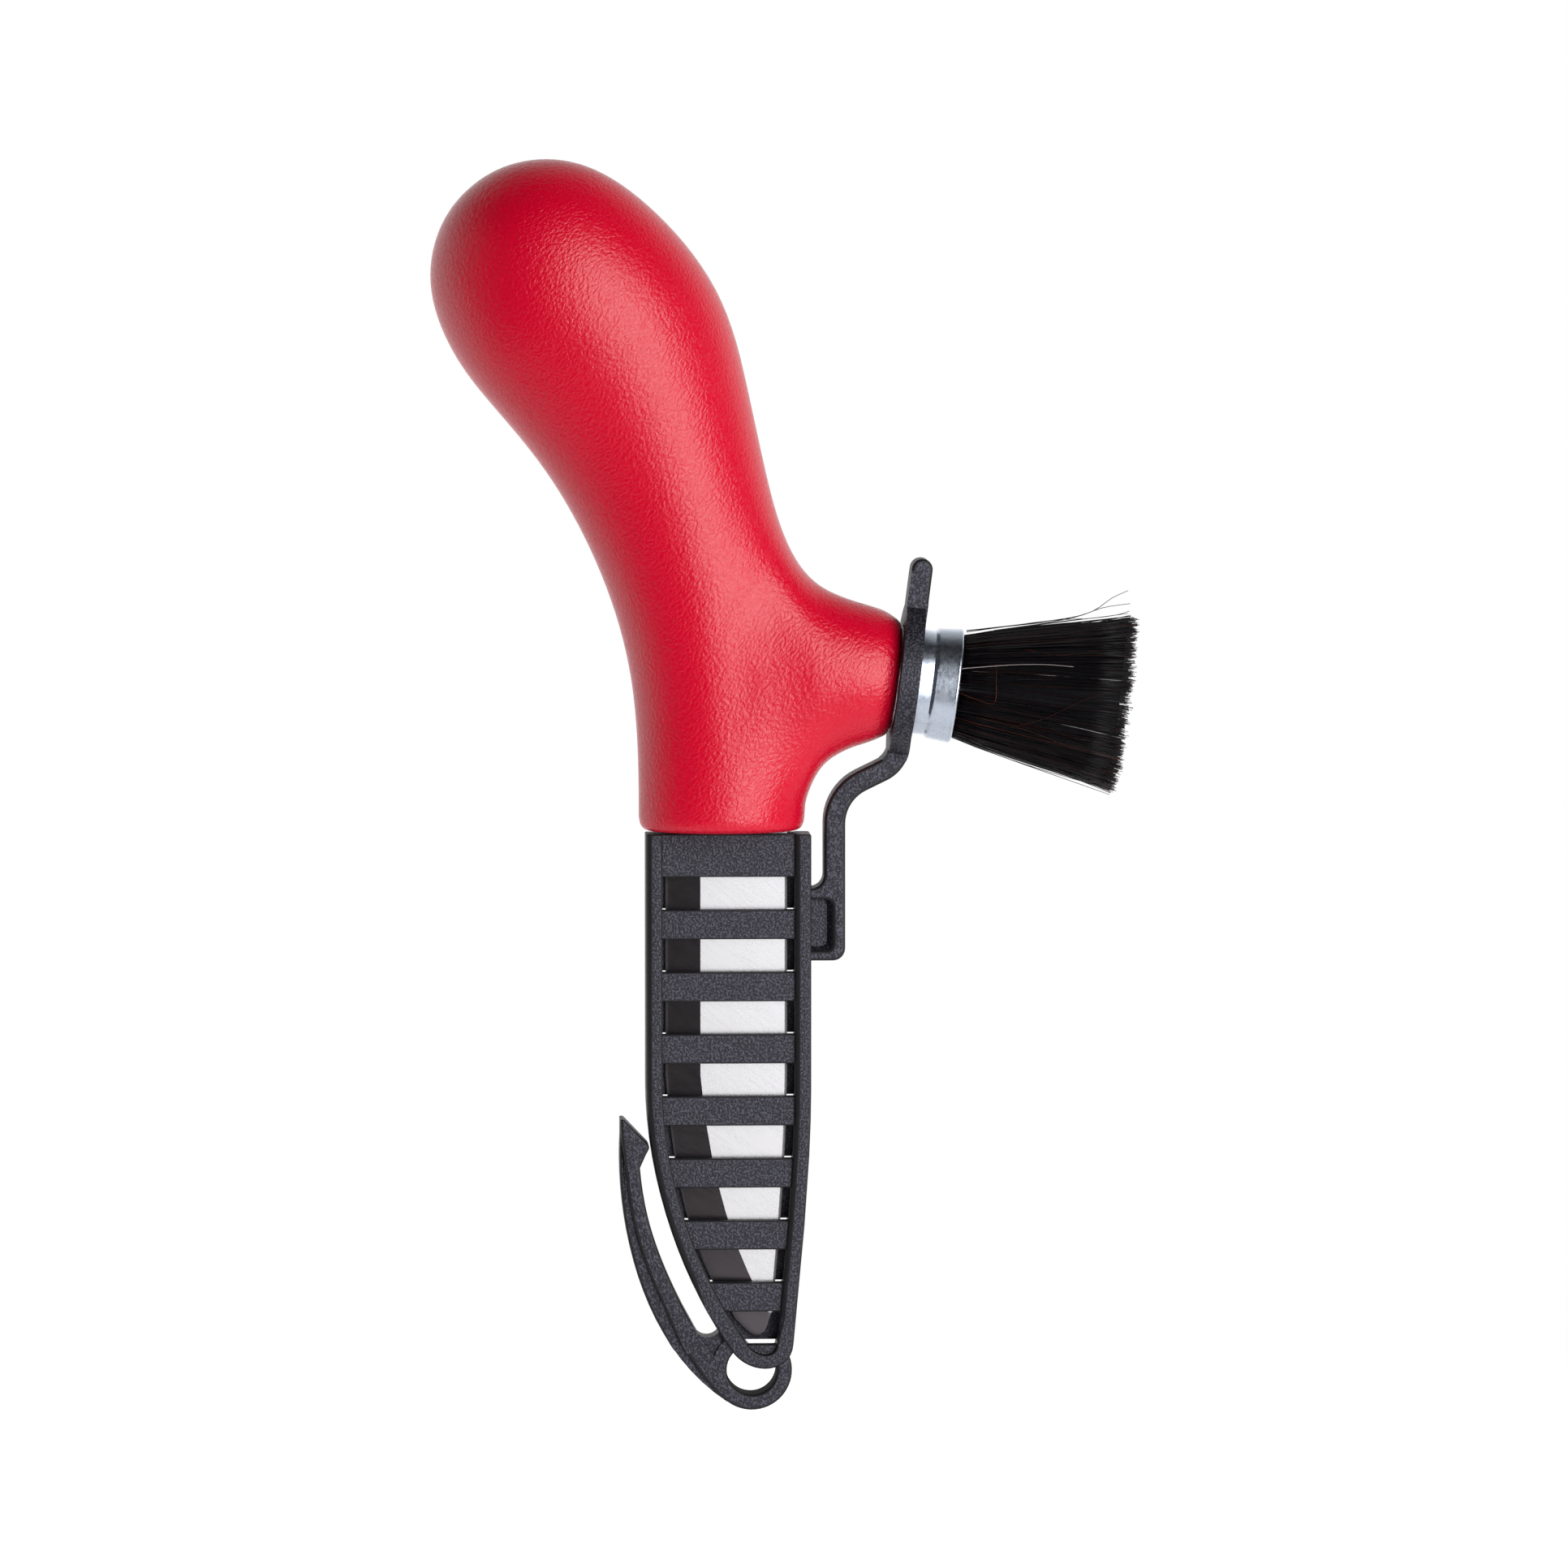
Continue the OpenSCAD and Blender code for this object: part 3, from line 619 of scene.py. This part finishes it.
def ferrule_profile():
    cone = [CONE_AT + CONE_STEP * k for k in range(29)]
    outside = [(FERRULE_R, 0), (FERRULE_R, 1)] + [
        (FERRULE_R + (RIM_R - FERRULE_R) * (z - CONE_AT) / (FERRULE_END - CONE_AT), z) for z in cone
    ]
    bead = [
        (RIM_R - BEAD + BEAD * math.cos(a), FERRULE_END - BEAD + BEAD * math.sin(a))
        for a in (math.radians(d) for d in range(-30, 121, 25))
    ]
    inside = [
        (RIM_R - WALL, FERRULE_END - BEAD), (FERRULE_R - WALL, PLUG_AT), (FERRULE_R - WALL, 0)
    ]
    return [(r * MM, z * MM) for r, z in outside + bead + inside]


def crimp(solid):
    """Presses four shallow dents into the outer wall, deepest at CRIMP_AT."""
    for vertex in solid.verts:
        radius = math.hypot(vertex.co.x, vertex.co.y)
        along = vertex.co.z / MM
        if radius < (FERRULE_R - WALL / 2) * MM or not CRIMP_FROM < along < CRIMP_AT + CRIMP_RISE:
            continue
        if along < CRIMP_AT:
            depth = (along - CRIMP_FROM) / (CRIMP_AT - CRIMP_FROM)
        else:
            depth = (CRIMP_AT + CRIMP_RISE - along) / CRIMP_RISE
        turn = math.atan2(vertex.co.y, vertex.co.x)
        off = abs((turn + QUARTER / 2) % QUARTER - QUARTER / 2) / CRIMP_HALF
        dent = CRIMP_DEPTH * MM * max(0, depth) * max(0, 1 - off ** 2)
        vertex.co.x *= 1 - dent / radius
        vertex.co.y *= 1 - dent / radius


band = spun(ferrule_profile(), 144)
crimp(band)
bmesh.ops.transform(band, matrix=BRUSH, verts=band.verts)
piece(band, "ferrule_band", "knife", ["ferrule"], [aluminium], weighted=False)
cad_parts["bristle_resin"].data.materials.clear()
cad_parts["bristle_resin"].data.materials.append(resin.material)

# The tuft along and round the brush's axis, in mm
ROOT_AT, STRAIGHT, TIP_AT = 8.0, 1.3, 33.3
ROOT_R, OUT_R, TIP_R = 7.25, 7.75, 12.75
TUFT_LIFT = 0.65
CORE_PROFILE = [(0, 8), (7, 8), (7.2, 9.3), (11.7, 32.1), (0, 32.5)]
HAIRS, HAIR_SIDES, HAIR_RINGS, STRAY_RINGS = 4096, 3, 6, 16
HAIR_CORNER = 2.0944  # a third of a turn
HAIR_ROOT_R, HAIR_TIP_R, STRAY_TIP_R = 0.085 * MM, 0.045 * MM, 0.05 * MM
LOCKS_ROUND, LOCKS_DEEP = 30, 3
LIGHT_HAIRS = 0.985  # hairs with a tone above this are light ones
PROUD = 0.1  # how far the loose hairs lie off the tuft


def flare(share, t):
    """Distance from the axis of the hair that leaves the ferrule at this share of its radius."""
    straight = min(1, (t - ROOT_AT) / STRAIGHT)
    spread = max(0, t - ROOT_AT - STRAIGHT) / (TIP_AT - ROOT_AT - STRAIGHT)
    return share * (ROOT_R + (OUT_R - ROOT_R) * straight + (TIP_R - OUT_R) * spread)


def grow_hairs(hairs, rings):
    """Makes the hairs, each a path of as many spots as rings with a root radius, a tip radius and a tone."""
    solid = bmesh.new()
    lofted(solid, [[(math.cos(a), math.sin(a), r) for a in (0, 2.1, 4.2)] for r in range(rings)])
    size = HAIR_SIDES * rings
    while len(solid.verts) < size * len(hairs):
        bmesh.ops.duplicate(solid, geom=solid.verts[:] + solid.edges[:] + solid.faces[:])
    solid.verts.ensure_lookup_table()
    bmesh.ops.delete(solid, geom=solid.verts[size * len(hairs):], context="VERTS")
    solid.verts.ensure_lookup_table()
    tones = solid.verts.layers.float.new("tone")
    for n, (path, root, tip, tone) in enumerate(hairs):
        for r, spot in enumerate(path):
            along = (path[min(r + 1, rings - 1)] - path[max(r - 1, 0)]).normalized()
            side = along.orthogonal().normalized()
            thick = root + (tip - root) * r / (rings - 1)
            for s in range(HAIR_SIDES):
                corner = solid.verts[n * size + r * HAIR_SIDES + s]
                corner.co = spot + thick * (Matrix.Rotation(HAIR_CORNER * s, 3, along) @ side)
                corner[tones] = tone
    bmesh.ops.transform(solid, matrix=BRUSH, verts=solid.verts)
    return solid


def tuft_hairs(count, rings):
    """Hairs from the plug to the flared end, in locks that lean together."""
    dice = random.Random(7)
    locks = [
        (dice.gauss(0, 0.45), dice.gauss(0, 0.45), dice.gauss(0, 0.3))
        for _ in range(LOCKS_ROUND * LOCKS_DEEP)
    ]
    hairs = []
    for _ in range(count):
        turn = dice.uniform(0, 2 * math.pi)
        share = dice.random() ** 0.32
        lock_round, lock_deep = int(turn / (2 * math.pi) * LOCKS_ROUND), int(share * (LOCKS_DEEP - 0.01))
        lock = locks[lock_round * LOCKS_DEEP + lock_deep]
        end = TIP_AT + max(-1.6, min(0.8, dice.gauss(lock[2] * 0.6, 0.35)))
        bow = (dice.gauss(0, 0.22), dice.gauss(0, 0.22))
        lean = (lock[0] * 0.7 + dice.gauss(0, 0.4), lock[1] * 0.7 + dice.gauss(0, 0.4))
        path = []
        for r in range(rings):
            s = r / (rings - 1)
            t = ROOT_AT + (end - ROOT_AT) * s
            out = flare(share, t)
            x, y = (
                out * side + bow[k] * math.sin(math.pi * s) * share + lean[k] * s * s
                for k, side in enumerate((math.cos(turn), math.sin(turn)))
            )
            path.append(Vector((x - TUFT_LIFT * s, y, t)) * MM)
        tone = dice.random()
        hairs.append((path, HAIR_ROOT_R, HAIR_TIP_R, tone * 0.96 if tone < LIGHT_HAIRS else tone))
    return hairs


def through(points, rings):
    """As many spots as rings on a smooth curve through the points."""
    spots = []
    for r in range(rings):
        k, f = divmod(r / (rings - 1) * (len(points) - 1), 1)
        a, b, c, d = (points[max(0, min(len(points) - 1, int(k) + n))] for n in (-1, 0, 1, 2))
        spots.append(0.5 * (
            2 * b + (c - a) * f + (2 * a - 5 * b + 4 * c - d) * f ** 2 + (3 * b - a - 3 * c + d) * f ** 3
        ))
    return spots


def on_tuft(across, up):
    """A spot just proud of the side of the tuft that faces the camera, or level with the axis beyond it."""
    spot = BRUSH.inverted() @ (Vector((across, 0, up)) * MM)
    bulge = max(0, flare(1, spot.z / MM) ** 2 - (spot.x / MM) ** 2) ** 0.5
    return spot + Vector((0, -bulge - PROUD, 0)) * MM


# Loose hairs: tone, then the places across and up that each runs through
STRAYS = [
    (0.5, [(44, 91.2), (51, 91.9), (58, 92.7), (62.5, 94), (65.3, 95.9), (67.7, 97)]),
    (0.4, [(46, 91.4), (53, 92.2), (60, 93.2), (64, 94.5), (68, 95.1)]),
    (0.3, [(48, 91.2), (57, 92.4), (65.2, 93.3), (67.9, 94)]),
    (0.2, [(44, 91), (50, 91.8), (56, 92.6), (61, 92.9)]),
    (0.985, [(42.6, 86), (46, 86.3), (50, 86.6), (55, 86.7), (59, 86.4)]),
    (0.93, [(42.6, 82.5), (45.2, 81.5), (47.4, 81), (47.8, 82.5), (47.8, 84.5), (47.9, 86.8)]),
    (0.9, [(50, 77.5), (55, 79), (60, 81.5), (63.5, 82.6)]),
    (0.92, [(52, 88.8), (57, 88), (62, 88.6), (64.5, 88.2)]),
    (0.89, [(45, 79), (52, 77.2), (59, 74.6), (64, 73.4)]),
    (0.3, [(43.6, 75.2), (48, 73.4), (56, 70.8), (63.3, 68.5)]),
    (0.5, [(43.8, 75.6), (50, 73), (58, 70.5), (64.4, 68.1)]),
    (0.4, [(46, 74.6), (54, 71.8), (60, 69.9), (65.3, 68.9)]),
]

core = spun([(r * MM, z * MM) for r, z in CORE_PROFILE], 64)
bmesh.ops.remove_doubles(core, verts=core.verts, dist=TOUCH)
for vertex in core.verts:
    vertex.co.x -= TUFT_LIFT * MM * max(0, vertex.co.z / MM - ROOT_AT) / (TIP_AT - ROOT_AT)
bmesh.ops.transform(core, matrix=BRUSH, verts=core.verts)
piece(core, "tuft_core", "knife", ["bristle_tuft"], [bristle], weighted=False)

strays = [
    (through([on_tuft(*place) for place in places], STRAY_RINGS), HAIR_ROOT_R, STRAY_TIP_R, tone)
    for tone, places in STRAYS
]
for name, hairs, rings in (
    ("tuft_hairs", tuft_hairs(HAIRS, HAIR_RINGS), HAIR_RINGS), ("stray_hairs", strays, STRAY_RINGS)
):
    piece(
        grow_hairs(hairs, rings), name, "knife", ["bristle_tuft"], [bristle],
        angle=math.pi, weighted=False,
    )

# ---- studio --------------------------------------------------------------------------------
scene = bpy.context.scene
scene.view_settings.view_transform = "Standard"
AIM = Vector((17.16, 0, 68.88)) * MM
CAMERA_TURN = math.radians(-2.5)
CAMERA_RISE = math.radians(4)
CAMERA_DISTANCE = 1.5
VIEW_WIDTH = 229.72 * MM
SENSOR_WIDTH = 36
CAMERA_SHIFT = (0.00035, -0.00054)
FLOOR_BELOW, FLOOR_R = 30 * MM, 0.4
FADE_START, FADE_END = 0.13, 0.36
# The room's light: strengths of its walls, the angles from DARK_SIDE where they change, and the ceiling
WHITE = (1, 1, 1)
DARK_SIDE = Vector((0.0, -1, 0.3)).normalized()
DARK_WALL, BRIGHT_WALL = 0.04, 1.05
DARK_FROM, BRIGHT_FROM = math.cos(math.radians(80)), math.cos(math.radians(118))
CEILING, CEILING_DIM = (0.25, 0.75), 0.42
FLOOR_GLOW = (0.3, 0.3, 0.3)


def seen_from(turn, rise, distance):
    return AIM + distance * Vector((
        math.sin(turn) * math.cos(rise), -math.cos(turn) * math.cos(rise), math.sin(rise)
    ))


lens = bpy.data.cameras.new("camera")
lens.sensor_width = SENSOR_WIDTH
lens.lens = SENSOR_WIDTH * CAMERA_DISTANCE / VIEW_WIDTH
lens.shift_x, lens.shift_y = CAMERA_SHIFT
camera = bpy.data.objects.new("camera", lens)
camera.location = seen_from(CAMERA_TURN, CAMERA_RISE, CAMERA_DISTANCE)
camera.rotation_euler = (AIM - camera.location).to_track_quat("-Z", "Y").to_euler()
scene.collection.objects.link(camera)
scene.camera = camera


def softbox(name, turn, rise, distance, width, height, glow):
    """An area light of radiance glow that looks at the knife."""
    light = bpy.data.lights.new(name, "AREA")
    light.shape = "RECTANGLE"
    light.size, light.size_y = width, height
    light.energy = glow * math.pi * width * height
    obj = bpy.data.objects.new(name, light)
    obj.location = seen_from(math.radians(turn), math.radians(rise), distance)
    obj.rotation_euler = (AIM - obj.location).to_track_quat("-Z", "Y").to_euler()
    obj.visible_camera = False
    scene.collection.objects.link(obj)


softbox("key_softbox", 30, 8, 0.9, 0.58, 1.0, 5.2)
softbox("flat_panel", 6, -3, 1.1, 0.3, 0.8, 1.3)
softbox("left_fill", -90, 5, 1.0, 1.0, 1.2, 0.4)


def white_room(world):
    """A bright room that is dark behind the camera and dim overhead, and plain white to the camera itself."""
    world.use_nodes = True
    world.node_tree.nodes.clear()
    room = Wiring(world.node_tree)
    way = room.node("ShaderNodeTexCoord", output="Generated")
    facing = room.node("ShaderNodeVectorMath", {"operation": "DOT_PRODUCT"}, {0: way, 1: DARK_SIDE}, output=1)
    wall = room.smooth(facing, BRIGHT_FROM, DARK_FROM, BRIGHT_WALL, DARK_WALL)
    height = room.node("ShaderNodeSeparateXYZ", None, {0: way}, output="Z")
    ceiling = room.smooth(height, *CEILING, 1.0, CEILING_DIM)
    lit = room.node("ShaderNodeBackground", None, {"Color": WHITE, "Strength": wall * ceiling})
    paper = room.node("ShaderNodeBackground", None, {"Color": WHITE, "Strength": 1.0})
    rays = room.node("ShaderNodeLightPath", output="Is Camera Ray")
    seen = room.node("ShaderNodeMixShader", None, {0: rays, 1: lit, 2: paper})
    room.node("ShaderNodeOutputWorld", None, {"Surface": seen})


scene.world = bpy.data.worlds.new("white_room")
white_room(scene.world)


def floor_finish():
    """Pale to light, white to the camera, and fading out away from the knife."""
    finish = Finish("pale_floor", base_color=(0.9, 0.9, 0.9), roughness=0.8)
    seen = finish.node("ShaderNodeLightPath")
    finish.set("Emission Color", finish.between(seen, FLOOR_GLOW, WHITE))
    finish.set("Emission Strength", 1)
    away = finish.node("ShaderNodeVectorMath", {"operation": "LENGTH"}, {0: finish.place()}, output=1)
    finish.set("Alpha", 1 - finish.smooth(away, FADE_START, FADE_END))
    return finish


ground = bmesh.new()
bmesh.ops.create_circle(ground, cap_ends=True, segments=96, radius=FLOOR_R)
bmesh.ops.translate(ground, verts=ground.verts, vec=(0, 0, cad_box[0].z - FLOOR_BELOW))
ground_mesh = bpy.data.meshes.new("floor")
ground.to_mesh(ground_mesh)
ground.free()
ground_mesh.materials.append(floor_finish().material)
floor = bpy.data.objects.new("floor", ground_mesh)
scene.collection.objects.link(floor)
